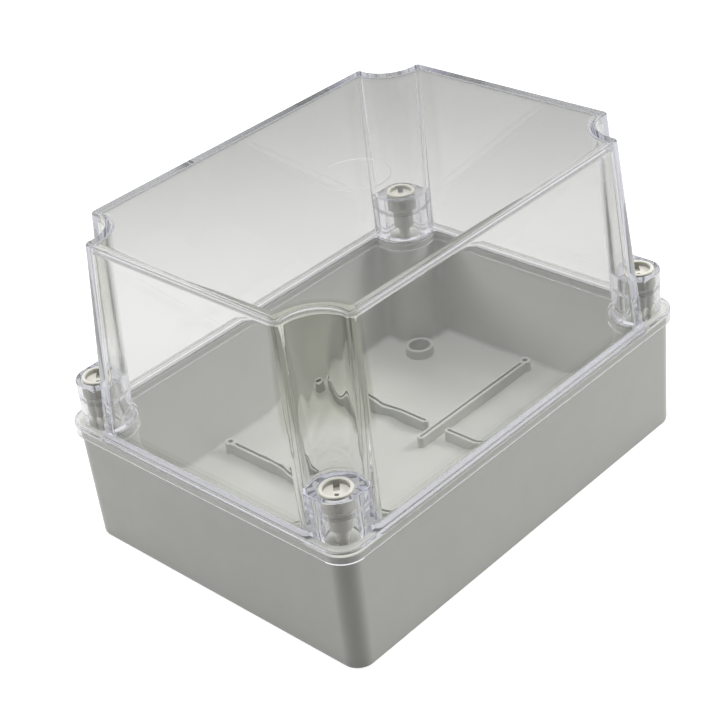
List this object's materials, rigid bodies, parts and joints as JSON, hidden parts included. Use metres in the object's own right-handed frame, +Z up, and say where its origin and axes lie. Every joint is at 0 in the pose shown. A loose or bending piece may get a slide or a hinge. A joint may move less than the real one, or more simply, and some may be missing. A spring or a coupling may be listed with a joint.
{
  "type": "electrical enclosure",
  "caption": "Rectangular plastic junction box: grey ribbed base, deep clear lift-off lid with scalloped corners, rim seal and quarter-turn screws in the lid's corner posts.",
  "frame": {"origin": "middle of the underside of the base", "axes": "+X along the length, +Y along the width towards the back, +Z up out of the base"},
  "size_m": [0.202, 0.152, 0.1385],
  "materials": {
    "base": "fine satin moulding",
    "lid": "clear polished",
    "seal": "soft foam",
    "screw": "satin moulding"
  },
  "bodies": {
    "base": {"base": "base"},
    "lid": {"lid": "lid", "seal": "seal"},
    "front_left_screw": {"front_left_screw": "screw"},
    "front_right_screw": {"front_right_screw": "screw"},
    "back_left_screw": {"back_left_screw": "screw"},
    "back_right_screw": {"back_right_screw": "screw"}
  },
  "joints": [
    {"name": "lid_lift", "type": "slide", "parent": "base", "child": "lid", "axis": [0, 0, 1], "range_m": [0, 0.1]},
    {"name": "front_left_turn", "type": "hinge", "parent": "lid", "child": "front_left_screw", "pos_m": [-0.089, -0.064, 0.0674], "axis": [0, 0, -1], "range_deg": [0, 90]},
    {"name": "front_right_turn", "type": "hinge", "parent": "lid", "child": "front_right_screw", "pos_m": [0.089, -0.064, 0.0674], "axis": [0, 0, -1], "range_deg": [0, 90]},
    {"name": "back_left_turn", "type": "hinge", "parent": "lid", "child": "back_left_screw", "pos_m": [-0.089, 0.064, 0.0674], "axis": [0, 0, -1], "range_deg": [0, 90]},
    {"name": "back_right_turn", "type": "hinge", "parent": "lid", "child": "back_right_screw", "pos_m": [0.089, 0.064, 0.0674], "axis": [0, 0, -1], "range_deg": [0, 90]}
  ]
}
